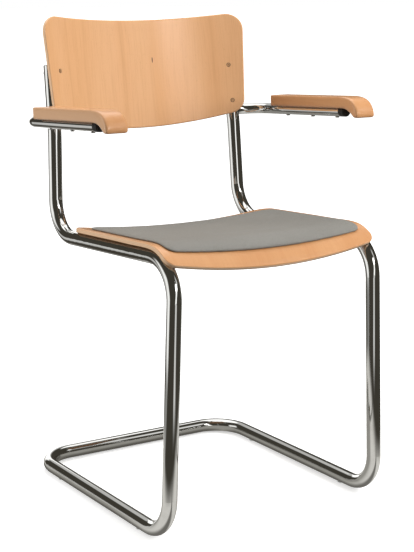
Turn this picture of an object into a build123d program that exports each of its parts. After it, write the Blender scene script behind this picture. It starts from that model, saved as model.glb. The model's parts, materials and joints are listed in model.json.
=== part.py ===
import os
from math import asin, atan2, cos, degrees, radians, sin, sqrt, tan

from build123d import *

# Cantilever armchair in millimetres. The sitter faces -Y and the floor is z = 0.

# bent frame tube
TUBE_R = 12.5
TUBE_WALL = 2.0
BEND_R = 65.0
KINK_R = 260.0
RUN_LENGTH = 480.0
FLOOR_HALF = 211.6
SIDE_LEAN = 0.0298
RAIL_FRONT_Z = 469.5
RAIL_REAR_Z = 451.0
RAIL_LENGTH = 415.0
KINK_BACK = 426.7
KINK_Z = 636.0
BACK_LEAN = 9.8
UPRIGHT_TOP_Z = 753.0
CAP_THICK = 2.2

# button glides in the runners' undersides
GLIDE_DROP = 1.5
GLIDE_R = 5.5
GLIDE_STEM_R = 3.0
GLIDE_INSET = 96.0

# plywood of the seat and the backrest
PLY = 8.5
PLY_EASE = 2.2
PLY_EASE_UNDER = 1.6

# seat shell
SEAT_HALF = 209.0
SEAT_SPARE = 14.0
SEAT_TAIL = 60.0
SEAT_REAR = 340.0
SEAT_REAR_BOW = 4.0
SEAT_REAR_CORNER = 27.0
SEAT_FRONT_CORNER = 20.0
APRON_TURN_MID = 60.5
APRON_TURN_SIDE = 46.5
DISH_REAR = 15.0
DISH_FRONT = 5.5
DISH_BLEND = 230.0
SEAT_SCREW_AT = (112.0, 292.0)
SEAT_HEAD_R = 4.6
SEAT_HEAD_H = 2.6
ACCESS_PLAY = 0.6
INSERT_R = 4.0
INSERT_DEPTH = 5.8

# pad glued on the shell
PAD_HALF = 194.5
PAD_REAR = 309.0
PAD_REAR_BOW = 5.0
PAD_REAR_CORNER = 25.0
PAD_FRONT_CORNER = 19.0
PAD_TURN_MID = 37.5
PAD_TURN_SIDE = 29.0
PAD_EDGE = 3.2
PAD_CROWN = 2.4
PAD_ROUND = 1.5

# backrest
BACK_CURVE_R = 432.0
BACK_HALF_TOP = 214.0
BACK_HALF_LOW = 203.0
BACK_TOP_Z = 832.0
BACK_HEIGHT = 203.0
BACK_TOP_RISE = 6.0
BACK_LOW_RISE = 20.0
BACK_TOP_CORNER = 31.0
BACK_LOW_CORNER = 28.0
BACK_STANDOFF = 2.4
BACK_SCREW_DROP = (94.5, 163.0)
SPACER_R = 7.0
NUT_HEAD_R = 3.8
NUT_HEAD_H = 1.4
NUT_PROUD = 0.6
NUT_BARREL_R = 3.0

# arm tubes
ARM_R = 10.0
ARM_WALL = 1.5
ARM_X = 250.0
ARM_BEND_R = 50.0
ARM_Z = 658.5
ARM_SLOPE = 3.0
ARM_PLUG_LENGTH = 14.0
ARM_PLUG_BACK = 6.9
ARM_BOLT_REACH = 13.0

# arm pads, bent bars with a groove for the tube
ARM_PAD_REAR = 353.0
ARM_PAD_LENGTH = 265.0
ARM_PAD_WIDTH = 42.0
ARM_PAD_THICK = 21.0
ARM_PAD_EASE = 2.6
ARM_EASE_TURN = 14.0
ARM_EASE_R = 100.0
ARM_NOSE_TURN = 74.0
ARM_NOSE_R = 33.0
ARM_UNDER_R = 45.0
ARM_UNDER_TURN = 45.0
ARM_NOSE_DROP = 17.0
ARM_TIP_R = 2.8
ARM_LIP_R = 2.0
GROOVE_R = 26.0
GROOVE_DEPTH = 4.0
ARM_SCREW_REAR = 29.0
ARM_SCREW_FRONT = 14.3
ARM_SCREW_SHARE = 0.55
ARM_SCREW_DEPTH = 11.0

# fasteners: shank radii and clearances
M4 = 2.0
M5 = 2.5
M6 = 3.0
BORE_PLAY = 0.25
HEAD_CLEAR = 0.2
GAP = 0.3

SIDES = (-1, 1)
SIDE_NAMES = {-1: "left", 1: "right"}

# points and directions that follow from the sizes
FRONT_Y = -RUN_LENGTH / 2
RUN_Z = TUBE_R + GLIDE_DROP
RAIL_RUN = Vector(0, -RAIL_LENGTH, RAIL_FRONT_Z - RAIL_REAR_Z).normalized()
RAIL_UP = Vector(0, RAIL_RUN.Z, -RAIL_RUN.Y)
CORNER = Vector(0, FRONT_Y, RAIL_FRONT_Z)
CORNER_TURN = degrees(atan2(RAIL_RUN.Z, -RAIL_RUN.Y)) + 90
CORNER_TANGENT = BEND_R * tan(radians(CORNER_TURN / 2))
BEND_CENTRE = CORNER - RAIL_RUN * CORNER_TANGENT - RAIL_UP * BEND_R
BACK_UP = Vector(0, sin(radians(BACK_LEAN)), cos(radians(BACK_LEAN)))
BACK_REAR = Vector(0, BACK_UP.Z, -BACK_UP.Y)
ARM_RUN = Vector(0, -cos(radians(ARM_SLOPE)), sin(radians(ARM_SLOPE)))
ARM_UP = Vector(0, ARM_RUN.Z, -ARM_RUN.Y)
ARM_UNDER_END = ARM_PAD_LENGTH - ARM_NOSE_DROP - ARM_UNDER_R * sin(radians(ARM_UNDER_TURN)) + 1
ARM_TUBE_RUN = ARM_UNDER_END - ARM_PLUG_BACK - ARM_PLUG_LENGTH
ARM_SCREW_AT = (ARM_SCREW_REAR, ARM_SCREW_SHARE * ARM_TUBE_RUN, ARM_TUBE_RUN - ARM_SCREW_FRONT)


def rod(plane, radius, low, high):
    """Cylinder on a plane's normal between two heights."""
    low_end = (Align.CENTER, Align.CENTER, Align.MIN)
    return plane.offset(low) * Cylinder(radius, high - low, align=low_end)


def sweep_round(path, radius, wall=0.0):
    """Round bar along a path, or a tube where a wall is given."""
    profile = Circle(radius)
    if wall:
        profile = profile - Circle(radius - wall)
    return sweep(Plane(path @ 0, z_dir=path % 0) * profile, path=path)


def ease_rim(sheet, toward, radius):
    """Round the rim of the one broad face of a sheet that looks in a direction."""
    broad = sheet.faces().sort_by(SortBy.AREA)[-2:]
    face = broad.sort_by(Axis((0, 0, 0), toward))[-1]
    return fillet(face.outer_wire().edges(), radius)


def screw(plane, radius, head_r, head_h, seat, tip):
    """Socket screw whose domed head ends just short of seat and whose shank runs up to tip."""
    seat -= HEAD_CLEAR
    head = rod(plane, head_r, seat - head_h, seat)
    rim = head.edges().sort_by(Axis(plane.origin, plane.z_dir))[0]
    head = fillet(rim, head_h * 0.7)
    socket = plane.offset(seat - head_h) * extrude(RegularPolygon(radius * 0.8, 6), head_h * 0.6)
    return head - socket + rod(plane, radius, seat - 0.1, tip)


def side_x(z):
    """Half distance between the two side frames' axes at a height."""
    return FLOOR_HALF - SIDE_LEAN * (z - RUN_Z)


def side_point(side, y, z):
    return Vector(side * side_x(z), y, z)


def upright_y(z):
    """Axis of the leaning upper part of the uprights."""
    return FRONT_Y + KINK_BACK + (z - KINK_Z) * tan(radians(BACK_LEAN))


def upright_point(side, z):
    return side_point(side, upright_y(z), z)


def upright_plane(side, z):
    along = upright_point(side, UPRIGHT_TOP_Z) - upright_point(side, KINK_Z)
    return Plane(upright_point(side, z), x_dir=(0, 1, 0), z_dir=along.normalized())


def frame_path():
    """Centre line of the whole frame, from one upright's top round the floor to the other's."""
    def half(side):
        return [
            upright_point(side, UPRIGHT_TOP_Z),
            upright_point(side, KINK_Z),
            side_point(side, FRONT_Y + RAIL_LENGTH, RAIL_REAR_Z),
            side_point(side, FRONT_Y, RAIL_FRONT_Z),
            side_point(side, FRONT_Y, RUN_Z),
            side_point(side, FRONT_Y + RUN_LENGTH, RUN_Z),
        ]

    radii = [KINK_R, BEND_R, BEND_R, BEND_R, BEND_R]
    return FilletPolyline(*half(-1), *half(1)[::-1], radius=radii + radii[::-1])


def frame_tube():
    tube = sweep_round(frame_path(), TUBE_R, TUBE_WALL)
    deep = 2 * TUBE_R
    for side in SIDES:
        for drop in BACK_SCREW_DROP:
            tube -= rod(back_screw_plane(side, drop), M4 + BORE_PLAY, -deep, deep)
        for run in SEAT_SCREW_AT:
            tube -= rod(seat_screw_plane(side, run), M5 + BORE_PLAY, 0, deep)
            tube -= rod(seat_screw_plane(side, run), SEAT_HEAD_R + ACCESS_PLAY, -deep, 0)
        for end in SIDES:
            tube -= rod(glide_plane(side, end), GLIDE_STEM_R + BORE_PLAY, 0, RUN_Z)
        tube -= rod(arm_bolt_plane(side), M6 + BORE_PLAY, -deep, deep)
    return tube


def upright_cap(side):
    """Plug with a rounded disc that closes the top of an upright."""
    plane = upright_plane(side, UPRIGHT_TOP_Z)
    disc = rod(plane, TUBE_R, 0.05, CAP_THICK)
    disc = fillet(disc.edges().sort_by(Axis(plane.origin, plane.z_dir))[-1], CAP_THICK * 0.6)
    return disc + rod(plane, TUBE_R - TUBE_WALL - 0.1, -7, 0.1)


def glide_plane(side, end):
    y = end * (RUN_LENGTH / 2 - GLIDE_INSET)
    return Plane((side * side_x(RUN_Z), y, 0))


def glide(side, end):
    """Button under a runner, hollowed to the tube, with a stem in the tube's wall."""
    plane = glide_plane(side, end)
    button = rod(plane, GLIDE_R, 0, RUN_Z - TUBE_R * 0.7)
    button = chamfer(button.edges().sort_by(Axis.Z)[0], 0.6)
    lying = Plane(plane.origin + Vector(0, 0, RUN_Z), z_dir=(0, 1, 0))
    button -= rod(lying, TUBE_R + 0.1, -2 * GLIDE_R, 2 * GLIDE_R)
    return button + rod(plane, GLIDE_STEM_R, GLIDE_DROP / 2, GLIDE_DROP + TUBE_WALL + 2)


def dish_at(run):
    """Depth of the seat's hollow at a run behind the start of the front bend."""
    t = min(max(run / DISH_BLEND + 0.35, 0.0), 1.0)
    return DISH_FRONT + (DISH_REAR - DISH_FRONT) * t * t * (3 - 2 * t)


def dish_radius(dish):
    return (SEAT_HALF**2 + dish**2) / (2 * dish)


def rail_station(run):
    """Plane across the seat at a run behind the front corner, its y axis off the rails."""
    return Plane(CORNER - RAIL_RUN * run, x_dir=(1, 0, 0), z_dir=RAIL_RUN)


def bend_normal(turn):
    return RAIL_UP * cos(radians(turn)) + RAIL_RUN * sin(radians(turn))


def bend_station(turn):
    """Plane across the seat where the front bend has turned by an angle."""
    out = bend_normal(turn)
    return Plane(BEND_CENTRE + out * BEND_R, x_dir=(1, 0, 0), z_dir=bend_normal(turn + 90))


def seat_band(plane, dish, low, high, crown):
    """Slice across the seat between two heights over the shell's underside."""
    half = SEAT_HALF + SEAT_SPARE
    base = dish_radius(dish) + PLY
    centre = sqrt((base + TUBE_R + GAP) ** 2 - side_x(plane.origin.Z) ** 2)

    def arc(height, rise):
        radius = base - height
        end = centre - sqrt(radius**2 - half**2)
        return ThreePointArc((-half, end), (0, centre - radius + rise), (half, end))

    under = arc(low, 0)
    over = arc(high, crown)
    return plane * make_face([under, Line(under @ 1, over @ 1), over, Line(over @ 0, under @ 0)])


def seat_loft(low, high, crown=0.0):
    """Moulded sheet that follows the rails and turns down over the front bends."""
    bands = []
    step = (SEAT_REAR + SEAT_TAIL - CORNER_TANGENT) / 7
    for run in [CORNER_TANGENT + step * count for count in range(7, -1, -1)]:
        bands.append(seat_band(rail_station(run), dish_at(run - CORNER_TANGENT), low, high, crown))
    for turn in (12, 24, 36, 48, 60, 70):
        bands.append(seat_band(bend_station(turn), dish_at(-radians(turn) * BEND_R), low, high, crown))
    return loft(bands)


def front_trim(half, turn_mid, turn_side, corner):
    """Block that ends at the bowed front edge, square to the sheet's turned-down face."""
    aim = (turn_mid + turn_side) / 2
    radius = BEND_R + TUBE_R + PLY
    mid = -radius * sin(radians(turn_mid - aim))
    edge = -radius * sin(radians(turn_side - aim))
    far = RUN_LENGTH
    bow = ThreePointArc((-half, edge), (0, mid), (half, edge))
    face = make_face([bow, Polyline((half, edge), (half, far), (-half, far), (-half, edge))])
    face = fillet(face.vertices().sort_by(Axis.Y)[:2], corner)
    return extrude(Plane(BEND_CENTRE, x_dir=(1, 0, 0), z_dir=bend_normal(aim)) * face, far, both=True)


def plan_trim(half, rear, bow, corner):
    """Upright block over the seat's plan, with a bowed rear edge and round corners."""
    y = FRONT_Y + rear
    ahead = FRONT_Y - 2 * BEND_R
    edge = ThreePointArc((half, y - bow), (0, y), (-half, y - bow))
    face = make_face([edge, Polyline((-half, y - bow), (-half, ahead), (half, ahead), (half, y - bow))])
    face = fillet(face.vertices().sort_by(Axis.Y)[-2:], corner)
    return extrude(face, 2 * RAIL_FRONT_Z)


def seat_shell():
    shell = seat_loft(0, PLY)
    shell &= front_trim(SEAT_HALF, APRON_TURN_MID, APRON_TURN_SIDE, SEAT_FRONT_CORNER)
    shell &= plan_trim(SEAT_HALF, SEAT_REAR, SEAT_REAR_BOW, SEAT_REAR_CORNER)
    shell = ease_rim(shell, (0, 0, 1), PLY_EASE)
    shell = ease_rim(shell, (0, 0, -1), PLY_EASE_UNDER)
    for side in SIDES:
        for run in SEAT_SCREW_AT:
            top = TUBE_R + GAP + INSERT_DEPTH + 0.4
            shell -= rod(seat_screw_plane(side, run), INSERT_R + 0.1, 0, top)
    return shell


def seat_pad():
    low = PLY + GAP
    pad = seat_loft(low, low + PAD_EDGE, PAD_CROWN)
    pad &= front_trim(PAD_HALF, PAD_TURN_MID, PAD_TURN_SIDE, PAD_FRONT_CORNER)
    pad &= plan_trim(PAD_HALF, PAD_REAR, PAD_REAR_BOW, PAD_REAR_CORNER)
    pad = ease_rim(pad, (0, 0, 1), PAD_ROUND)
    return ease_rim(pad, (0, 0, -1), PAD_ROUND)


def seat_screw_plane(side, run):
    """Axis of a seat screw: from the rail's centre line, square to the shell."""
    level = CORNER - RAIL_RUN * run
    x = side_x(level.Z)
    reach = dish_radius(dish_at(run - CORNER_TANGENT)) + PLY + TUBE_R + GAP
    tilt = asin(x / reach)
    up = RAIL_UP * cos(tilt) - Vector(side * sin(tilt), 0, 0)
    return Plane(Vector(side * x, level.Y, level.Z), x_dir=RAIL_RUN, z_dir=up)


def seat_screw(side, run):
    """Screw put in through a hole under the rail, its head against the upper wall's inside."""
    wall = sqrt((TUBE_R - TUBE_WALL) ** 2 - SEAT_HEAD_R**2)
    tip = TUBE_R + GAP + INSERT_DEPTH - 0.6
    return screw(seat_screw_plane(side, run), M5, SEAT_HEAD_R, SEAT_HEAD_H, wall, tip)


def seat_insert(side, run):
    plane = seat_screw_plane(side, run)
    low = TUBE_R + GAP + 0.1
    return rod(plane, INSERT_R, low, low + INSERT_DEPTH) - rod(plane, M5 + 0.1, low, low + INSERT_DEPTH)


def back_axis(drop):
    """Point on the axis of the backrest's curve, at a drop below the middle of its top edge."""
    x = side_x((UPRIGHT_TOP_Z + KINK_Z) / 2)
    to_axis = sqrt((BACK_CURVE_R + PLY + BACK_STANDOFF + TUBE_R) ** 2 - x**2)
    point = Vector(0, upright_y(UPRIGHT_TOP_Z), UPRIGHT_TOP_Z) - BACK_REAR * to_axis
    top = point + BACK_REAR * BACK_CURVE_R
    return point + BACK_UP * ((BACK_TOP_Z - top.Z) / BACK_UP.Z - drop)


def back_screw_plane(side, drop):
    """Axis of a back screw: from the upright's centre line forwards, square to the ply."""
    level = back_axis(drop)
    top = upright_point(side, UPRIGHT_TOP_Z)
    down = upright_point(side, KINK_Z) - top
    axis = top + down * ((level - top).dot(BACK_UP) / down.dot(BACK_UP))
    return Plane(axis, x_dir=BACK_UP, z_dir=(level - axis).normalized())


def back_faces(side, drop):
    """Heights of the ply's rear and front faces on a back screw's axis."""
    reach = (back_axis(drop) - back_screw_plane(side, drop).origin).length
    return reach - BACK_CURVE_R - PLY, reach - BACK_CURVE_R


def back_cylinder(radius):
    plane = Plane(back_axis(0), x_dir=(1, 0, 0), z_dir=BACK_UP)
    return rod(plane, radius, -2 * BACK_HEIGHT, BACK_HEIGHT)


def backrest():
    low = -BACK_HEIGHT
    top = ThreePointArc((-BACK_HALF_TOP, BACK_TOP_RISE), (0, 0), (BACK_HALF_TOP, BACK_TOP_RISE))
    lift = low + BACK_LOW_RISE
    base = ThreePointArc((BACK_HALF_LOW, lift), (0, low), (-BACK_HALF_LOW, lift))
    face = make_face([top, Line(top @ 1, base @ 0), base, Line(base @ 1, top @ 0)])
    face = fillet(face.vertices().sort_by(Axis.Y)[-2:], BACK_TOP_CORNER)
    face = fillet(face.vertices().sort_by(Axis.Y)[:2], BACK_LOW_CORNER)
    plane = Plane(back_axis(0), x_dir=(1, 0, 0), z_dir=BACK_REAR * -1)
    board = extrude(plane * face, -2 * BACK_CURVE_R)
    board &= back_cylinder(BACK_CURVE_R + PLY)
    board -= back_cylinder(BACK_CURVE_R)
    board = ease_rim(board, BACK_REAR, PLY_EASE)
    board = ease_rim(board, BACK_REAR * -1, PLY_EASE)
    for side in SIDES:
        for drop in BACK_SCREW_DROP:
            screw_axis = back_screw_plane(side, drop)
            rear, front = back_faces(side, drop)
            board -= rod(screw_axis, NUT_BARREL_R + 0.2, rear - PLY, front + PLY)
            board -= rod(screw_axis, NUT_HEAD_R + 0.2, front - NUT_HEAD_H, front + PLY)
    return board


def back_spacer(side, drop):
    """Washer between an upright and the ply, hollowed to both."""
    plane = back_screw_plane(side, drop)
    rear, front = back_faces(side, drop)
    washer = rod(plane, SPACER_R, 0, rear + 1) - rod(plane, NUT_BARREL_R + 0.2, 0, rear + 2)
    upright = upright_plane(side, plane.origin.Z)
    washer -= rod(upright, TUBE_R + 0.1, -3 * TUBE_R, 3 * TUBE_R)
    return washer - back_cylinder(BACK_CURVE_R + PLY + 0.1)


def back_nut(side, drop):
    """Sleeve nut with a domed head let into the front of the ply."""
    plane = back_screw_plane(side, drop)
    rear, front = back_faces(side, drop)
    under = front - NUT_HEAD_H + 0.1
    head = rod(plane, NUT_HEAD_R, under, front + NUT_PROUD)
    head = fillet(head.edges().sort_by(Axis(plane.origin, plane.z_dir))[-1], NUT_PROUD * 1.7)
    nut = head + rod(plane, NUT_BARREL_R, rear - 0.5, under)
    nut -= rod(plane, M4 + 0.1, rear - 1, under)
    return nut - plane.offset(front - NUT_PROUD) * extrude(RegularPolygon(M4 * 0.7, 6), 2)


def back_screw(side, drop):
    front = back_faces(side, drop)[1]
    return screw(back_screw_plane(side, drop), M4, 3.8, 2.2, -TUBE_R, front - NUT_HEAD_H - 1)


def arm_corner(side):
    return Vector(side * ARM_X, upright_y(ARM_Z), ARM_Z)


def arm_axis_point(side, y):
    """Point on an arm tube's straight run at a distance behind the front legs."""
    corner = arm_corner(side)
    return corner + ARM_RUN * ((FRONT_Y + y - corner.Y) / ARM_RUN.Y)


def arm_tube_end(side):
    return arm_axis_point(side, ARM_PAD_REAR) + ARM_RUN * ARM_TUBE_RUN


def arm_path(side):
    """From the upright's axis outwards, round one bend and forwards under the pad."""
    start = upright_point(side, ARM_Z)
    return FilletPolyline(start, arm_corner(side), arm_tube_end(side), radius=ARM_BEND_R)


def arm_bolt_plane(side):
    return Plane(upright_point(side, ARM_Z), x_dir=(0, 1, 0), z_dir=(side, 0, 0))


def arm_pad_plane(side):
    """Side view of an arm pad: x forwards from its rear end, y up from its underside."""
    origin = arm_axis_point(side, ARM_PAD_REAR) + ARM_UP * (ARM_R + GAP - GROOVE_DEPTH)
    return Plane(origin, x_dir=ARM_RUN, z_dir=(-1, 0, 0))


def arm_screw_plane(side, run):
    """Axis of an arm screw: from the tube's centre line up into the pad."""
    origin = arm_axis_point(side, ARM_PAD_REAR) + ARM_RUN * run
    return Plane(origin, x_dir=ARM_RUN, z_dir=ARM_UP)


def arm_tube(side):
    tube = sweep_round(arm_path(side), ARM_R, ARM_WALL)
    tube -= rod(upright_plane(side, ARM_Z), TUBE_R + 0.1, -3 * ARM_R, 3 * ARM_R)
    for run in ARM_SCREW_AT:
        tube -= rod(arm_screw_plane(side, run), M4 + BORE_PLAY, -2 * ARM_R, 2 * ARM_R)
    return tube


def arm_insert(side):
    """Threaded slug inside the rear end of an arm tube."""
    bolt = arm_bolt_plane(side)
    slug = sweep_round(arm_path(side), ARM_R - ARM_WALL - 0.1)
    slug &= rod(bolt, 2 * ARM_R, TUBE_R + 3, TUBE_R + ARM_BOLT_REACH)
    return slug - rod(bolt, M6 + 0.1, 0, TUBE_R + ARM_BOLT_REACH)


def arm_bolt(side):
    return screw(arm_bolt_plane(side), M6, 5.2, 3.2, -TUBE_R, TUBE_R + ARM_BOLT_REACH - 1)


def arm_plug(side):
    """End plug as wide as the tube, with a stem inside it."""
    end = arm_tube_end(side)
    plane = Plane(end, x_dir=(1, 0, 0), z_dir=ARM_RUN)
    plug = rod(plane, ARM_R, 0.05, ARM_PLUG_LENGTH)
    plug = fillet(plug.edges().sort_by(Axis(end, ARM_RUN))[-1], 3)
    return plug + rod(plane, ARM_R - ARM_WALL - 0.1, -10, 0.1)


def arm_pad_face():
    """Side view of an arm pad, with its nose bent down past the end of the tube."""
    thick = ARM_PAD_THICK
    eased = ARM_EASE_R * sin(radians(ARM_EASE_TURN))
    full = radians(ARM_EASE_TURN + ARM_NOSE_TURN)
    nose = ARM_NOSE_R * (sin(full) - sin(radians(ARM_EASE_TURN)))
    top = Line((0, thick), (ARM_PAD_LENGTH - eased - nose, thick))
    ease = JernArc(top @ 1, top % 1, ARM_EASE_R, -ARM_EASE_TURN)
    bend = JernArc(ease @ 1, ease % 1, ARM_NOSE_R, -ARM_NOSE_TURN)
    under = Line((0, 0), (ARM_UNDER_END, 0))
    hollow = JernArc(under @ 1, under % 1, ARM_UNDER_R, -ARM_UNDER_TURN)
    lip = hollow @ 1 + (hollow % 1) * ((hollow @ 1).Y + ARM_NOSE_DROP) / sin(radians(ARM_UNDER_TURN))
    tip = Vector((bend @ 1).X, -ARM_NOSE_DROP)
    nose_line = Polyline(bend @ 1, tip, lip, hollow @ 1)
    face = make_face([top, ease, bend, nose_line, hollow, under, Line(under @ 0, top @ 0)])
    face = fillet(face.vertices().sort_by_distance(tip)[0], ARM_TIP_R)
    return fillet(face.vertices().sort_by_distance(lip)[0], ARM_LIP_R)


def groove_path(side):
    plane = arm_pad_plane(side)
    run = Line((-2 * ARM_PAD_EASE, 0), (ARM_UNDER_END, 0))
    return plane * Wire([run, JernArc(run @ 1, run % 1, ARM_UNDER_R, -62)])


def arm_pad(side):
    pad = extrude(arm_pad_plane(side) * arm_pad_face(), ARM_PAD_WIDTH / 2, both=True)
    rims = pad.faces().sort_by(Axis.X)[0].edges() + pad.faces().sort_by(Axis.X)[-1].edges()
    pad = fillet(rims, ARM_PAD_EASE)
    path = groove_path(side)
    lens = Pos(0, GROOVE_DEPTH - GROOVE_R) * Circle(GROOVE_R)
    lens &= Pos(0, GROOVE_DEPTH / 2) * Rectangle(2 * GROOVE_R, 1.5 * GROOVE_DEPTH)
    pad -= sweep(Plane(path @ 0, x_dir=(1, 0, 0), z_dir=path % 0) * lens, path=path)
    for run in ARM_SCREW_AT:
        pad -= rod(arm_screw_plane(side, run), M4 + 0.1, 0, ARM_R + ARM_SCREW_DEPTH)
    return pad


def arm_screws(side):
    tip = ARM_R + ARM_SCREW_DEPTH - 0.5
    return [screw(arm_screw_plane(side, run), M4, 3.8, 2.0, -ARM_R, tip) for run in ARM_SCREW_AT]


def all_of(make, places):
    return [make(side, place) for side in SIDES for place in places]


def nodes():
    yield "frame_tube", frame_tube()
    yield "seat_shell", seat_shell()
    yield "seat_pad", seat_pad()
    yield "seat_screws", all_of(seat_screw, SEAT_SCREW_AT)
    yield "seat_inserts", all_of(seat_insert, SEAT_SCREW_AT)
    yield "backrest", backrest()
    yield "back_spacers", all_of(back_spacer, BACK_SCREW_DROP)
    yield "back_nuts", all_of(back_nut, BACK_SCREW_DROP)
    yield "back_screws", all_of(back_screw, BACK_SCREW_DROP)
    for side, name in SIDE_NAMES.items():
        yield f"upright_cap_{name}", upright_cap(side)
        yield f"arm_tube_{name}", arm_tube(side)
        yield f"arm_plug_{name}", arm_plug(side)
        yield f"arm_pad_{name}", arm_pad(side)
        yield f"arm_screws_{name}", arm_screws(side)
        yield f"arm_insert_{name}", arm_insert(side)
        yield f"arm_bolt_{name}", arm_bolt(side)
        yield f"front_glide_{name}", glide(side, -1)
        yield f"rear_glide_{name}", glide(side, 1)


def build():
    os.makedirs("parts", exist_ok=True)
    for name, shape in nodes():
        shape = Compound(children=shape) if isinstance(shape, list) else shape
        export_step(shape, f"parts/{name}.step")


build()
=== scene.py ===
import json
import math

import bpy
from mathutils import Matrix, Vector


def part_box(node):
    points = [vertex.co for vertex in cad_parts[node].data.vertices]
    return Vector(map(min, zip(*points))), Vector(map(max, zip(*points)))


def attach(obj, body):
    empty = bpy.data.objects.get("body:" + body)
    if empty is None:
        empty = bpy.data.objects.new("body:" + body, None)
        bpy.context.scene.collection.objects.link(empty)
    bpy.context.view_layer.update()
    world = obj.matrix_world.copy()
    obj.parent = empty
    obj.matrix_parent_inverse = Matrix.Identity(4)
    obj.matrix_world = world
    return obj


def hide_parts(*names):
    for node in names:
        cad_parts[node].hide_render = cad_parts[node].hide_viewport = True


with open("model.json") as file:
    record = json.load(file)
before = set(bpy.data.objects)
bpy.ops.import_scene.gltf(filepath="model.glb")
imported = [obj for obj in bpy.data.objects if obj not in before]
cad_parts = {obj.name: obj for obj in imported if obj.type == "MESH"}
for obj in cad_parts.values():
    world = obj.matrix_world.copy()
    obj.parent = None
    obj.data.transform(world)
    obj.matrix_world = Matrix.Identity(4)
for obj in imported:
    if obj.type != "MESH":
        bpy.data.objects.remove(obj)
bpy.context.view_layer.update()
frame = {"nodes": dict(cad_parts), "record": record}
nodes = frame["nodes"]
print("frame loaded:", len(nodes), "nodes")


def tone(red, green, blue):  # screen levels 0-255 to a linear colour
    levels = [value / 255 for value in (red, green, blue)]
    return [v / 12.92 if v < 0.0405 else ((v + 0.055) / 1.055) ** 2.4 for v in levels] + [1.0]


class Plug:  # an output socket, arithmetic on it adds Math nodes
    def __init__(self, finish, socket):
        self.finish = finish
        self.socket = socket

    def __add__(self, other):
        return self.finish.calc("ADD", self, other)

    def __radd__(self, other):
        return self.finish.calc("ADD", other, self)

    def __sub__(self, other):
        return self.finish.calc("SUBTRACT", self, other)

    def __rsub__(self, other):
        return self.finish.calc("SUBTRACT", other, self)

    def __mul__(self, other):
        return self.finish.calc("MULTIPLY", self, other)

    def __rmul__(self, other):
        return self.finish.calc("MULTIPLY", other, self)

    def __truediv__(self, other):
        return self.finish.calc("DIVIDE", self, other)

    def __rtruediv__(self, other):
        return self.finish.calc("DIVIDE", other, self)

    def __pow__(self, other):
        return self.finish.calc("POWER", self, other)

    def __rpow__(self, other):
        return self.finish.calc("POWER", other, self)


class Finish:  # the node tree of one finish
    def __init__(self, tree):
        self.tree = tree
        tree.nodes.clear()

    def add(self, kind, settings=None, sockets=None, out=0):  # settings first, then values and links
        node = self.tree.nodes.new(kind)
        for key, value in (settings or {}).items():
            setattr(node, key, value)
        for key, value in (sockets or {}).items():
            if isinstance(value, Plug):
                self.tree.links.new(value.socket, node.inputs[key])
            else:
                node.inputs[key].default_value = value
        if not node.outputs:
            return None
        if isinstance(out, tuple):
            return [Plug(self, node.outputs[each]) for each in out]
        return Plug(self, node.outputs[out])

    def calc(self, operation, first, second=0.0):
        return self.add("ShaderNodeMath", {"operation": operation}, {0: first, 1: second})

    def vector(self, operation, first, second, out=0):
        return self.add("ShaderNodeVectorMath", {"operation": operation}, {0: first, 1: second}, out)

    def dot(self, first, second):
        return self.vector("DOT_PRODUCT", first, second, "Value")

    def length(self, vector):
        return self.add("ShaderNodeVectorMath", {"operation": "LENGTH"}, {0: vector}, "Value")

    def unit(self, vector):
        return self.add("ShaderNodeVectorMath", {"operation": "NORMALIZE"}, {0: vector})

    def scaled(self, vector, factor):
        return self.add("ShaderNodeVectorMath", {"operation": "SCALE"}, {0: vector, "Scale": factor})

    def split(self, vector):
        return self.add("ShaderNodeSeparateXYZ", {}, {0: vector}, (0, 1, 2))

    def join(self, x, y, z):
        return self.add("ShaderNodeCombineXYZ", {}, {0: x, 1: y, 2: z})

    def place(self):
        return self.add("ShaderNodeTexCoord", out="Object")

    def normal(self):
        return self.add("ShaderNodeNewGeometry", out="Normal")

    def noise(self, vector, scale, detail=3.0, rough=0.55, distort=0.0):
        return self.add("ShaderNodeTexNoise", {}, {
            "Vector": vector, "Scale": scale, "Detail": detail, "Roughness": rough, "Distortion": distort})

    def ease(self, value, low, high):  # 0 at low, 1 at high
        return self.add("ShaderNodeMapRange", {"interpolation_type": "SMOOTHSTEP"},
                        {"Value": value, "From Min": low, "From Max": high})

    def band(self, value, low, high, soft):  # 1 between low and high
        return self.ease(value, low - soft, low + soft) * self.ease(value, high + soft, high - soft)

    def mix(self, factor, first, second):
        return self.add("ShaderNodeMix", {"data_type": "RGBA"}, {0: factor, 6: first, 7: second}, 2)

    def bump(self, height, strength, distance, before=None):
        sockets = {"Height": height, "Strength": strength, "Distance": distance}
        if before:
            sockets["Normal"] = before
        return self.add("ShaderNodeBump", {}, sockets)

    def shade(self, sockets):
        return self.add("ShaderNodeBsdfPrincipled", {}, sockets)

    def close(self, shader, kind="ShaderNodeOutputMaterial"):
        self.add(kind, {}, {"Surface": shader})


def newFinish(name):
    material = bpy.data.materials.new(name)
    material.use_nodes = True
    return material, Finish(material.node_tree)


chromeLook = {
    "bright": tone(226, 226, 224), "dull": tone(212, 211, 208), "roughness": 0.05,
    "smearScale": 17, "smearRange": (0.42, 0.72), "smearDulls": 0.6, "smearHaze": 0.05,
    "dustScale": 950, "dustRange": (0.62, 0.8), "dustDulls": 0.2, "dustHaze": 0.03,
}


def chromePlate():
    material, finish = newFinish("chromePlate")
    place = finish.place()
    smear = finish.noise(place, chromeLook["smearScale"], detail=4, rough=0.6, distort=0.4)
    smear = finish.ease(smear, *chromeLook["smearRange"])
    dust = finish.ease(finish.noise(place, chromeLook["dustScale"], detail=2), *chromeLook["dustRange"])
    dulled = smear * chromeLook["smearDulls"] + dust * chromeLook["dustDulls"]
    haze = smear * chromeLook["smearHaze"] + dust * chromeLook["dustHaze"]
    finish.close(finish.shade({
        "Base Color": finish.mix(dulled, chromeLook["bright"], chromeLook["dull"]),
        "Metallic": 1.0,
        "Roughness": chromeLook["roughness"] + haze,
    }))
    return material


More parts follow.
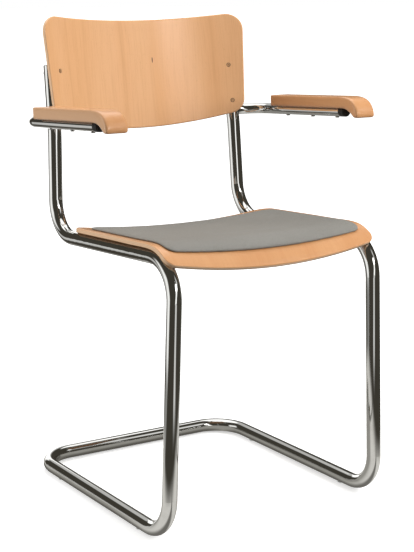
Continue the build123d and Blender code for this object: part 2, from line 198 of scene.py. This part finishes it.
steelLook = {
    "pale": tone(196, 196, 193), "dark": tone(150, 150, 147), "roughness": 0.26, "cloudScale": 420,
    "cloudHaze": 0.14, "scratchScale": (3000, 3000, 200), "scratch": 0.12, "scratchDepth": 0.0002,
}


def zincSteel():
    material, finish = newFinish("zincSteel")
    place = finish.place()
    cloud = finish.noise(place, steelLook["cloudScale"], detail=4, rough=0.6)
    scratch = finish.noise(finish.vector("MULTIPLY", place, steelLook["scratchScale"]), 1, detail=2)
    finish.close(finish.shade({
        "Base Color": finish.mix(cloud, steelLook["dark"], steelLook["pale"]),
        "Metallic": 1.0,
        "Roughness": steelLook["roughness"] + cloud * steelLook["cloudHaze"],
        "Normal": finish.bump(scratch, steelLook["scratch"], steelLook["scratchDepth"]),
    }))
    return material


plugLook = {"base": tone(26, 26, 25), "worn": tone(48, 47, 45), "roughness": 0.46}
glideLook = {"base": tone(206, 206, 203), "worn": tone(180, 179, 175), "roughness": 0.4}
plasticGrain = {
    "scuffScale": 130, "scuffRange": (0.5, 0.75), "scuffHaze": 0.15,
    "sparkScale": 1900, "sparkHaze": 0.06, "spark": 0.25, "sparkDepth": 0.0003,
}


def mouldedPlastic(name, look):
    material, finish = newFinish(name)
    place = finish.place()
    scuff = finish.noise(place, plasticGrain["scuffScale"], detail=5, rough=0.65)
    scuff = finish.ease(scuff, *plasticGrain["scuffRange"])
    spark = finish.noise(place, plasticGrain["sparkScale"], detail=2)
    haze = scuff * plasticGrain["scuffHaze"] + spark * plasticGrain["sparkHaze"]
    finish.close(finish.shade({
        "Base Color": finish.mix(scuff, look["base"], look["worn"]),
        "Roughness": look["roughness"] + haze,
        "Normal": finish.bump(spark, plasticGrain["spark"], plasticGrain["sparkDepth"]),
    }))
    return material


beechLook = {
    "veneer": (tone(242, 188, 137), tone(233, 173, 117)),
    "solid": (tone(224, 167, 116), tone(215, 155, 103)),
    # side is a paler painted lit colour, mixed into the arms' outer sides by sideShare
    "dark": tone(206, 137, 84), "fleck": tone(176, 112, 66), "side": tone(220, 178, 138), "sideShare": 0.6,
    "wanderScale": (6, 1.6), "wanderReach": 0.035,  # scales are across and along the grain
    "boardScale": (9, 0.5), "boardRange": (0.25, 0.75),
    "ringScale": (70, 1.1), "ringRange": (0.48, 0.8), "ringShare": 0.3, "ringHaze": 0.08, "ringRelief": 0.4,
    "fibreScale": (620, 14), "fibreRange": (0.42, 0.75), "fibreShare": 0.2, "fibreHaze": 0.05,
    "fleckScale": (1500, 130), "fleckRange": (0.66, 0.74), "fleckShare": 0.3, "fleckDulls": 0.1,
    "roughness": 0.42, "coat": 0.9, "coatRoughness": 0.22, "relief": 0.07, "reliefDepth": 0.0006,
}
plyLook = {
    "pale": tone(250, 212, 172), "dark": tone(236, 188, 142), "layers": 7, "layerRange": (0.32, 0.68),
    "gritScale": (500, 500), "gritShare": 0.35, "edgeRange": (0.75, 0.45),
}
knotLook = {
    "colour": tone(104, 54, 28), "x": 0.034, "z": 0.757, "size": (8e5, 4e4), "sizeRange": (1.6, 0.4),
    "parting": (900, 60), "push": 0.5, "veneerDepth": (0.6, 0.4),
}


def grainNoise(finish, grain, scales, detail, rough=0.55):
    across, depth, along = grain
    wide, lengthwise = scales
    return finish.noise(finish.join(across * wide, depth * wide, along * lengthwise), 1, detail, rough)


def plyLayers(finish, grain, ply):
    layer = finish.calc("PINGPONG", ply * plyLook["layers"], 1.0)
    layers = finish.mix(finish.ease(layer, *plyLook["layerRange"]), plyLook["pale"], plyLook["dark"])
    grit = grainNoise(finish, grain, plyLook["gritScale"], 2)
    return finish.mix(grit * plyLook["gritShare"], layers, plyLook["dark"])


def beechSurface(finish, sort, grain, edge, ply=None, spot=None):
    across, depth, along = grain
    wander = grainNoise(finish, grain, beechLook["wanderScale"], 2)
    lane = across + (wander - 0.5) * beechLook["wanderReach"]
    if spot:  # growth lines part round the pin knot
        sideways, upward = spot
        wide, tall = knotLook["parting"]
        near = math.e ** (-1 * (sideways * sideways * wide + upward * upward * tall))
        lane = lane + near * sideways * knotLook["push"]
    lanes = (lane, depth, along)
    board = finish.ease(grainNoise(finish, lanes, beechLook["boardScale"], 2), *beechLook["boardRange"])
    rings = grainNoise(finish, lanes, beechLook["ringScale"], 3, 0.6)
    ringLines = finish.ease(rings, *beechLook["ringRange"])
    fibre = grainNoise(finish, lanes, beechLook["fibreScale"], 2)
    fibreLines = finish.ease(fibre, *beechLook["fibreRange"])
    flecks = finish.ease(grainNoise(finish, lanes, beechLook["fleckScale"], 1), *beechLook["fleckRange"])
    pale, mid = beechLook[sort]
    colour = finish.mix(board, mid, pale)
    colour = finish.mix(ringLines * beechLook["ringShare"], colour, beechLook["dark"])
    colour = finish.mix(fibreLines * beechLook["fibreShare"], colour, beechLook["dark"])
    colour = finish.mix(flecks * beechLook["fleckShare"], colour, beechLook["fleck"])
    if spot:  # only in the front veneer
        wide, tall = knotLook["size"]
        knot = finish.ease(sideways * sideways * wide + upward * upward * tall, *knotLook["sizeRange"])
        colour = finish.mix(knot * finish.ease(ply, *knotLook["veneerDepth"]), colour, knotLook["colour"])
    if ply:
        colour = finish.mix(edge, colour, plyLayers(finish, grain, ply))
    else:
        # painted light: the arms' outer sides are mixed toward the paler side colour
        colour = finish.mix(edge * beechLook["sideShare"], colour, beechLook["side"])
    relief = rings * beechLook["ringRelief"] + fibre
    haze = rings * beechLook["ringHaze"] + fibre * beechLook["fibreHaze"]
    finish.close(finish.shade({
        "Base Color": colour,
        "Roughness": beechLook["roughness"] + haze,
        "Coat Weight": beechLook["coat"] - flecks * beechLook["fleckDulls"],
        "Coat Roughness": beechLook["coatRoughness"],
        "Normal": finish.bump(relief, beechLook["relief"], beechLook["reliefDepth"]),
    }))


backLook = {"axisPoint": (0.0, -0.1861, 0.9055), "up": (0.0, 0.1702, 0.9854),
            "radius": 0.432, "thick": 0.0085}


def boardFrame(finish):  # height up the bent board, reach from its axis, how far a face looks out
    off = finish.vector("SUBTRACT", finish.place(), backLook["axisPoint"])
    along = finish.dot(off, backLook["up"])
    radial = finish.vector("SUBTRACT", off, finish.scaled(backLook["up"], along))
    facing = finish.calc("ABSOLUTE", finish.dot(finish.normal(), finish.unit(radial)))
    return along, finish.length(radial), facing


def backrestBeech():
    material, finish = newFinish("beechBackrest")
    along, reach, facing = boardFrame(finish)
    x, _, z = finish.split(finish.place())
    edge = finish.ease(facing, *plyLook["edgeRange"])
    ply = (reach - backLook["radius"]) / backLook["thick"]
    beechSurface(finish, "veneer", (x, reach, along), edge, ply, (x - knotLook["x"], z - knotLook["z"]))
    return material


nutLook = {
    # rim is a painted shade: a dark ring for the gap round the dome's foot
    "face": tone(226, 180, 136), "worn": tone(206, 158, 114), "rim": tone(112, 74, 46),
    "paintedGapShadeRange": (0.985, 0.96), "metallic": 0.35, "roughness": 0.36, "cloudScale": 520, "cloudHaze": 0.15,
}


def nutBrass():
    material, finish = newFinish("nutBrass")
    _, _, facing = boardFrame(finish)
    cloud = finish.noise(finish.place(), nutLook["cloudScale"], detail=4, rough=0.6)
    colour = finish.mix(cloud, nutLook["worn"], nutLook["face"])
    paintedGapShade = finish.ease(facing, *nutLook["paintedGapShadeRange"])  # painted shade of the gap round the dome's foot
    finish.close(finish.shade({
        "Base Color": finish.mix(paintedGapShade, colour, nutLook["rim"]),
        "Metallic": nutLook["metallic"],
        "Roughness": nutLook["roughness"] + cloud * nutLook["cloudHaze"],
    }))
    return material


seatLook = {
    "bend": (0.0, -0.1750, 0.4015), "run": (0.0, -0.9990, 0.0445), "up": (0.0, 0.0445, 0.9990),
    "bendReach": 0.08, "under": 0.0778, "thick": 0.0085, "railX": 0.1986,
    "dish": 0.3516, "dishFront": 0.1295, "dishRun": (-0.2, 0.06),
}


def seatBeech():
    material, finish = newFinish("beechSeat")
    place = finish.place()
    off = finish.vector("SUBTRACT", place, seatLook["bend"])
    x, y, _ = finish.split(place)
    run = finish.dot(off, seatLook["run"])
    rise = finish.dot(off, seatLook["up"])
    ahead = finish.calc("MAXIMUM", run, 0.0)  # past the start of the front bend
    reach = (ahead * ahead + rise * rise) ** 0.5
    along = run - ahead + finish.calc("ARCTAN2", ahead, rise) * seatLook["bendReach"]
    runwise = finish.dot(finish.normal(), seatLook["run"])
    risewise = finish.dot(finish.normal(), seatLook["up"])
    facing = finish.calc("ABSOLUTE", (ahead * runwise + rise * risewise) / reach)
    edge = finish.ease(facing, *plyLook["edgeRange"])
    deeper = finish.ease(y, *seatLook["dishRun"]) * (seatLook["dish"] - seatLook["dishFront"])
    under = seatLook["under"] - (seatLook["railX"] ** 2 - x * x) * (deeper + seatLook["dishFront"])
    beechSurface(finish, "solid", (x, reach, along), edge, (reach - under) / seatLook["thick"])
    return material


armLook = {"shiftLeft": 0.37, "shiftRight": 0.81, "paintedLitSideRange": (0.55, 0.9)}  # the shifts cut two boards; the side range marks the outer side, painted paler as if lit


def armBeech(name, shift, outward):
    material, finish = newFinish(name)
    x, y, z = finish.split(finish.place())
    # the outer side is painted paler, as if lit from that side
    facing = finish.split(finish.normal())[0] * outward
    beechSurface(finish, "solid", (x + shift, z, y), finish.ease(facing, *armLook["paintedLitSideRange"]))
    return material


leatherLook = {
    # crease is a painted shade colour for the grain's creases
    "pale": tone(145, 143, 137), "dark": tone(139, 137, 131), "crease": tone(110, 107, 101),
    "paintedCreaseShadeShare": 0.4, "creaseHaze": 0.16, "roughness": 0.52,
    "cloudScale": 9, "cloudRange": (0.3, 0.7), "cloudHaze": 0.06,
    "warpScale": 300.0, "warp": (0.0009, 0.0009, 0.0009), "grain": 640, "pebbleRange": (0.0, 0.32),
    "pebble": 0.14, "pebbleDepth": 0.0004, "foldScale": 30, "fold": 0.03, "foldDepth": 0.002,
}


def padLeather():
    material, finish = newFinish("padLeather")
    place = finish.place()
    cloud = finish.noise(place, leatherLook["cloudScale"])
    swirl = finish.add("ShaderNodeTexNoise", {}, {"Vector": place, "Scale": leatherLook["warpScale"]}, 1)
    warped = finish.vector("ADD", place, finish.vector("MULTIPLY", swirl, leatherLook["warp"]))
    cell = finish.add("ShaderNodeTexVoronoi", {"feature": "DISTANCE_TO_EDGE"},
                      {"Vector": warped, "Scale": leatherLook["grain"]})
    pebble = finish.ease(cell, *leatherLook["pebbleRange"])
    # the creases are darkened in colour, a painted shade, and made rougher
    crease = 1 - pebble
    haze = crease * leatherLook["creaseHaze"] + cloud * leatherLook["cloudHaze"]
    paler = finish.ease(cloud, *leatherLook["cloudRange"])
    colour = finish.mix(paler, leatherLook["dark"], leatherLook["pale"])
    fold = finish.noise(place, leatherLook["foldScale"], rough=0.5)
    folded = finish.bump(fold, leatherLook["fold"], leatherLook["foldDepth"])
    finish.close(finish.shade({
        "Base Color": finish.mix(crease * leatherLook["paintedCreaseShadeShare"], colour, leatherLook["crease"]),
        "Roughness": leatherLook["roughness"] + haze,
        "Normal": finish.bump(pebble, leatherLook["pebble"], leatherLook["pebbleDepth"], folded),
    }))
    return material


def dress(piece, material):
    piece.data.materials.clear()
    piece.data.materials.append(material)


chrome = chromePlate()
steel = zincSteel()
black = mouldedPlastic("blackPlug", plugLook)
glide = mouldedPlastic("paleGlide", glideLook)
armLeft = armBeech("beechArmLeft", armLook["shiftLeft"], -1)
armRight = armBeech("beechArmRight", armLook["shiftRight"], 1)
leather = padLeather()
finishes = {"seat_shell": seatBeech(), "backrest": backrestBeech(), "back_nuts": nutBrass(),
            "arm_pad_left": armLeft, "arm_pad_right": armRight, "seat_pad": leather}
bySlot = {"chrome": chrome, "steel": steel, "black_plastic": black, "glide_plastic": glide}
for subpart in frame["record"]["subparts"]:
    name = subpart["node"]
    dress(nodes[name], finishes[name] if name in finishes else bySlot[subpart["material_slot"]])
print("finishes set")


def evaluated(piece):
    view = bpy.context.evaluated_depsgraph_get()
    view.update()
    return bpy.data.meshes.new_from_object(piece.evaluated_get(view))


def relax(piece, rounds, factor=0.5, group=""):
    smooth = piece.modifiers.new("relax", "SMOOTH")
    smooth.factor = factor
    smooth.iterations = rounds
    smooth.vertex_group = group


def softCopy(node, name, form):  # the solid's skin in small even faces, with its edges eased
    body = bpy.data.objects.new(name + "Blank", nodes[node].data.copy())
    bpy.context.scene.collection.objects.link(body)
    remesh = body.modifiers.new("remesh", "REMESH")
    remesh.mode = "VOXEL"
    remesh.voxel_size = form["voxel"]
    remesh.use_smooth_shade = True
    relax(body, form["smooth"])
    mesh = evaluated(body)
    bpy.data.objects.remove(body)
    piece = bpy.data.objects.new(name, mesh)
    bpy.context.scene.collection.objects.link(piece)
    print(name + ":", len(mesh.vertices), "points")
    return piece


armForm = {"voxel": 0.0014, "smooth": 5, "noseLength": 0.05, "noseRounds": 45, "noseRise": 2}


def roundedArm(node, name, beech):  # the nose is sanded rounder than the straight run
    arm = softCopy(node, name, armForm)
    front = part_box(node)[0][1]
    nose = arm.vertex_groups.new(name="nose")
    for vertex in arm.data.vertices:
        share = 1 - (vertex.co.y - front) / armForm["noseLength"]
        if share > 0:
            nose.add([vertex.index], min(1.0, share * armForm["noseRise"]), "REPLACE")
    relax(arm, armForm["noseRounds"], group="nose")
    dress(arm, beech)
    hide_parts(node)
    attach(arm, "root")


padForm = {
    "voxel": 0.0018, "smooth": 6, "frames": 10, "pressure": 3.2, "mass": 0.4, "stretch": 25, "bending": 4,
    "quality": 4, "cap": 0.0016, "underFacing": -0.3, "frontFacing": 0.55, "frontBelow": 0.432,
    "settle": 0.4, "settleRounds": 3,
}


def heldOnSeat(vertex):  # the underside, and the lip that is tucked in at the front
    if vertex.normal.z < padForm["underFacing"]:
        return True
    forward = vertex.normal.dot(Vector(seatLook["run"]))
    return forward > padForm["frontFacing"] and vertex.co.z < padForm["frontBelow"]


def inflate(cover):  # air under the cover, with the underside held on the seat
    rest = [vertex.co.copy() for vertex in cover.data.vertices]
    held = cover.vertex_groups.new(name="held")
    held.add([vertex.index for vertex in cover.data.vertices if heldOnSeat(vertex)], 1.0, "REPLACE")
    cloth = cover.modifiers.new("cloth", "CLOTH")
    cloth.settings.quality = padForm["quality"]
    cloth.settings.mass = padForm["mass"]
    cloth.settings.tension_stiffness = padForm["stretch"]
    cloth.settings.compression_stiffness = padForm["stretch"]
    cloth.settings.bending_stiffness = padForm["bending"]
    cloth.settings.use_pressure = True
    cloth.settings.uniform_pressure_force = padForm["pressure"]
    cloth.settings.vertex_group_mass = "held"
    cloth.settings.effector_weights.gravity = 0
    cloth.point_cache.frame_start = 1
    cloth.point_cache.frame_end = padForm["frames"]
    for step in range(1, padForm["frames"] + 1):
        bpy.context.scene.frame_set(step)
    swollen = evaluated(cover)
    cover.modifiers.remove(cloth)
    moved = 0.0
    for vertex, start, after in zip(cover.data.vertices, rest, swollen.vertices):
        shift = after.co - start
        if shift.length > padForm["cap"]:
            shift = shift * (padForm["cap"] / shift.length)
        moved = max(moved, shift.length)
        vertex.co = start + shift
    bpy.data.meshes.remove(swollen)
    bpy.context.scene.frame_set(1)
    print("pad swell:", round(moved * 1000, 2), "mm")


def finishCover(cover):
    dress(cover, leather)
    for face in cover.data.polygons:
        face.use_smooth = True
        face.material_index = 0
    relax(cover, padForm["settleRounds"], padForm["settle"])
    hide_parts("seat_pad")
    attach(cover, "root")


roundedArm("arm_pad_left", "arm_left", armLeft)
roundedArm("arm_pad_right", "arm_right", armRight)
cover = softCopy("seat_pad", "pad_cover", padForm)
inflate(cover)
finishCover(cover)

studio = {
    "toCamera": (-0.5362, -0.8441, 0.0), "toRight": (0.8441, -0.5362, 0.0), "aim": (0, 0, 0.45),
    "dark": tone(66, 63, 56), "panel": (1.5, 1.5, 1.48, 1), "softBox": (10.0, 9.9, 9.7, 1), "air": 0.45,
    # panels reach from one turn to another, in radians right of the camera, with ends this soft
    "left": (-1.76, -1.06, 0.09), "back": (-2.96, -2.48, 0.07), "rim": (-2.14, -1.86, 0.05),
    "rimShare": 0.4,
}


def square(name, half, level):
    mesh = bpy.data.meshes.new(name)
    corners = [(-half, -half, level), (half, -half, level), (half, half, level), (-half, half, level)]
    mesh.from_pydata(corners, [], [(0, 1, 2, 3)])
    piece = bpy.data.objects.new(name, mesh)
    bpy.context.scene.collection.objects.link(piece)
    return piece


def seenDirectly(finish):
    camera, glossy, through = finish.add(
        "ShaderNodeLightPath", out=("Is Camera Ray", "Is Glossy Ray", "Is Transmission Ray"))
    return camera, camera + glossy + through


floorLook = {"half": 40.0, "dim": tone(108, 108, 107), "white": tone(243, 243, 242), "roughness": 0.9,
             "glowNear": 0.46, "glowFar": 1.0, "glowRange": (0.6, 2.2)}


def studioFloor():
    floor = square("floor", floorLook["half"], 0)
    material, finish = newFinish("paleFloor")
    camera, direct = seenDirectly(finish)
    colour = finish.mix(camera, floorLook["dim"], floorLook["white"])
    pale = finish.shade({
        "Base Color": colour, "Roughness": floorLook["roughness"], "Specular IOR Level": 0.0})
    x, y, _ = finish.split(finish.place())
    away = finish.ease((x * x + y * y) ** 0.5, *floorLook["glowRange"])
    level = finish.mix(away, [floorLook["glowNear"]] * 3 + [1], [floorLook["glowFar"]] * 3 + [1])
    glow = finish.add("ShaderNodeEmission", {}, {"Color": level, "Strength": direct})
    finish.close(finish.add("ShaderNodeAddShader", {}, {0: pale, 1: glow}))
    dress(floor, material)


def glossOnly(piece):
    piece.visible_camera = False
    piece.visible_diffuse = False
    piece.visible_transmission = False
    piece.visible_volume_scatter = False
    piece.visible_shadow = False


flagLook = {
    "radius": 5.0, "horizon": (-0.02, 0.0), "leftTop": (0.5, 0.32), "leftShare": 0.75,
    "backTop": (0.46, 0.36), "rimTop": (0.08, 0.04),
    "wallFrom": (-3.14, -3.0), "wallTo": (-3.08, -3.22), "wallLean": 1.2, "wallFoot": (0.26, 0.4),
    "wallShare": 0.37, "side": (1.12, 1.5, 0.1), "sideHeight": (0.47, 0.74, 0.08), "sideShare": 0.6,
    "overhead": (0.1612, 0.2538, 0.9537), "overheadRange": (0.84, 0.88), "overheadRight": (0.32, 0.2),
    "right": (0.3, 0.58, 0.09), "rightLean": 0.75, "rightTop": (0.62, 0.5), "softBoxFoot": (0.34, 0.5),
}


def studioFlags():  # dark cloth round the set, with lit panels and a soft box for the metal and the lacquer
    bpy.ops.mesh.primitive_uv_sphere_add(segments=48, ring_count=24, radius=flagLook["radius"])
    dome = bpy.context.object
    dome.name = "flags"
    material, finish = newFinish("flagCloth")
    ray = finish.unit(finish.place())
    _, _, height = finish.split(ray)
    right = finish.dot(ray, studio["toRight"])
    turn = finish.calc("ARCTAN2", right, finish.dot(ray, studio["toCamera"]))
    left = finish.band(turn, *studio["left"]) * finish.ease(height, *flagLook["leftTop"])
    left = left * flagLook["leftShare"]
    back = finish.band(turn, *studio["back"]) * finish.ease(height, *flagLook["backTop"])
    wall = finish.ease(turn, *flagLook["wallFrom"])
    wall = wall * finish.ease(turn - height * flagLook["wallLean"], *flagLook["wallTo"])
    wall = wall * finish.ease(height, *flagLook["wallFoot"]) * flagLook["wallShare"]
    rim = finish.band(turn, *studio["rim"]) * finish.ease(height, *flagLook["rimTop"]) * studio["rimShare"]
    side = finish.band(turn, *flagLook["side"]) * finish.band(height, *flagLook["sideHeight"])
    side = side * flagLook["sideShare"]
    overhead = finish.ease(finish.dot(ray, flagLook["overhead"]), *flagLook["overheadRange"])
    overhead = overhead * finish.ease(right, *flagLook["overheadRight"])
    level = finish.mix(left + back + wall + rim + side + overhead, studio["dark"], studio["panel"])
    strip = finish.band(turn - height * flagLook["rightLean"], *flagLook["right"])
    strip = strip * finish.ease(height, *flagLook["rightTop"])
    boxed = finish.ease(height, *flagLook["softBoxFoot"])
    level = finish.mix(strip, level, finish.mix(boxed, studio["panel"], studio["softBox"]))
    glow = finish.add("ShaderNodeEmission", {}, {"Color": level, "Strength": 1.0})
    clear = finish.add("ShaderNodeBsdfTransparent")
    above = finish.ease(height, *flagLook["horizon"])
    finish.close(finish.add("ShaderNodeMixShader", {}, {0: above, 1: clear, 2: glow}))
    dress(dome, material)
    glossOnly(dome)


sheetLook = {
    "half": 4.9, "level": 0.0006,
    "pale": tone(224, 222, 217), "shade": tone(160, 158, 152), "rear": tone(150, 148, 143),
    "leftFrom": (1.1, 1.6), "leftNear": 0.18, "leftGain": 0.55,
    "right": (0.26, 0.58, 0.08), "rightFrom": (0.75, 1.2), "rightShare": 0.5,
    "rimFrom": (1.2, 2.0), "backFrom": (1.3, 1.8), "rearFrom": (-0.62, -0.78),
    "seatCentre": (0.0, 0.08, 0.0), "seatShade": (0.26, 0.38), "farFrom": (0.42, 0.7),
    "runnerX": 0.212, "crossBarY": 0.24, "contact": (0.032, 0.008), "contactShare": 0.8,
}


def floorSheet():  # the floor as the metal sees it: pale, shaded under seat and tubes, dark further off
    sheet = square("floorFlag", sheetLook["half"], sheetLook["level"])
    material, finish = newFinish("flagFloor")
    place = finish.place()
    x, y, _ = finish.split(place)
    reach = finish.length(place)
    ahead = finish.dot(place, studio["toCamera"])
    turn = finish.calc("ARCTAN2", finish.dot(place, studio["toRight"]), ahead)
    left = finish.ease(reach, *sheetLook["leftFrom"]) * sheetLook["leftGain"] + sheetLook["leftNear"]
    left = finish.band(turn, *studio["left"]) * left
    right = finish.band(turn, *sheetLook["right"]) * finish.ease(reach, *sheetLook["rightFrom"])
    right = right * sheetLook["rightShare"]
    rim = finish.band(turn, *studio["rim"]) * finish.ease(reach, *sheetLook["rimFrom"]) * studio["rimShare"]
    front = finish.mix(left + right + rim, studio["dark"], studio["panel"])
    back = finish.band(turn, *studio["back"]) * finish.ease(reach, *sheetLook["backFrom"])
    rear = finish.mix(back, sheetLook["rear"], studio["panel"])
    far = finish.mix(finish.ease(ahead / reach, *sheetLook["rearFrom"]), front, rear)
    fromSeat = finish.vector("DISTANCE", place, sheetLook["seatCentre"], "Value")
    near = finish.mix(finish.ease(fromSeat, *sheetLook["seatShade"]), sheetLook["shade"], sheetLook["pale"])
    fromRunner = finish.calc("ABSOLUTE", x) - sheetLook["runnerX"]
    fromTube = finish.calc("ABSOLUTE", finish.calc("MAXIMUM", fromRunner, y - sheetLook["crossBarY"]))
    contact = finish.ease(fromTube, *sheetLook["contact"]) * sheetLook["contactShare"]
    near = finish.mix(contact, near, studio["dark"])
    level = finish.mix(finish.ease(reach, *sheetLook["farFrom"]), near, far)
    finish.close(finish.add("ShaderNodeEmission", {}, {"Color": level, "Strength": 1.0}))
    dress(sheet, material)
    glossOnly(sheet)


lamps = {  # turn from the camera and lift in degrees, distance and size in metres, watts
    "overhead": (180, 74, 2.2, (2.0, 2.0), 26),
    "sideLeft": (-85, 14, 2.6, (1.4, 1.4), 32),
    "sideRight": (74, 27, 2.6, (1.1, 1.8), 53),
}


def lamp(name, turn, lift, distance, size, power):
    turn, lift = math.radians(turn), math.radians(lift)
    level = Vector(studio["toCamera"]) * math.cos(turn) + Vector(studio["toRight"]) * math.sin(turn)
    aim = Vector(studio["aim"])
    data = bpy.data.lights.new(name, "AREA")
    data.shape = "RECTANGLE"
    data.size, data.size_y = size
    data.energy = power
    light = bpy.data.objects.new(name, data)
    light.location = aim + (level * math.cos(lift) + Vector((0, 0, math.sin(lift)))) * distance
    light.rotation_euler = (aim - light.location).to_track_quat("-Z", "Y").to_euler()
    light.visible_camera = False
    light.visible_glossy = False
    bpy.context.scene.collection.objects.link(light)


def studioAir():  # white where it is seen, dimmer as light
    world = bpy.data.worlds.new("studioAir")
    world.use_nodes = True
    bpy.context.scene.world = world
    finish = Finish(world.node_tree)
    _, direct = seenDirectly(finish)
    strength = direct * (1 - studio["air"]) + studio["air"]
    background = finish.add("ShaderNodeBackground", {}, {"Color": (1, 1, 1, 1), "Strength": strength})
    finish.close(background, "ShaderNodeOutputWorld")


viewLook = {"location": (-1.3472, -2.1423, 0.9059), "tilt": math.pi / 2 - 0.158, "turn": -0.566,
            "lens": 93.87, "shiftY": -0.12}


def setCamera():
    data = bpy.data.cameras.new("photoView")
    data.lens = viewLook["lens"]
    data.shift_y = viewLook["shiftY"]
    camera = bpy.data.objects.new("photoView", data)
    camera.location = viewLook["location"]
    camera.rotation_euler = (viewLook["tilt"], 0, viewLook["turn"])
    bpy.context.scene.collection.objects.link(camera)
    bpy.context.scene.camera = camera


studioFloor()
studioFlags()
floorSheet()
for name, setting in lamps.items():
    lamp(name, *setting)
studioAir()
setCamera()
bpy.context.scene.view_settings.view_transform = "Standard"
print("studio set")
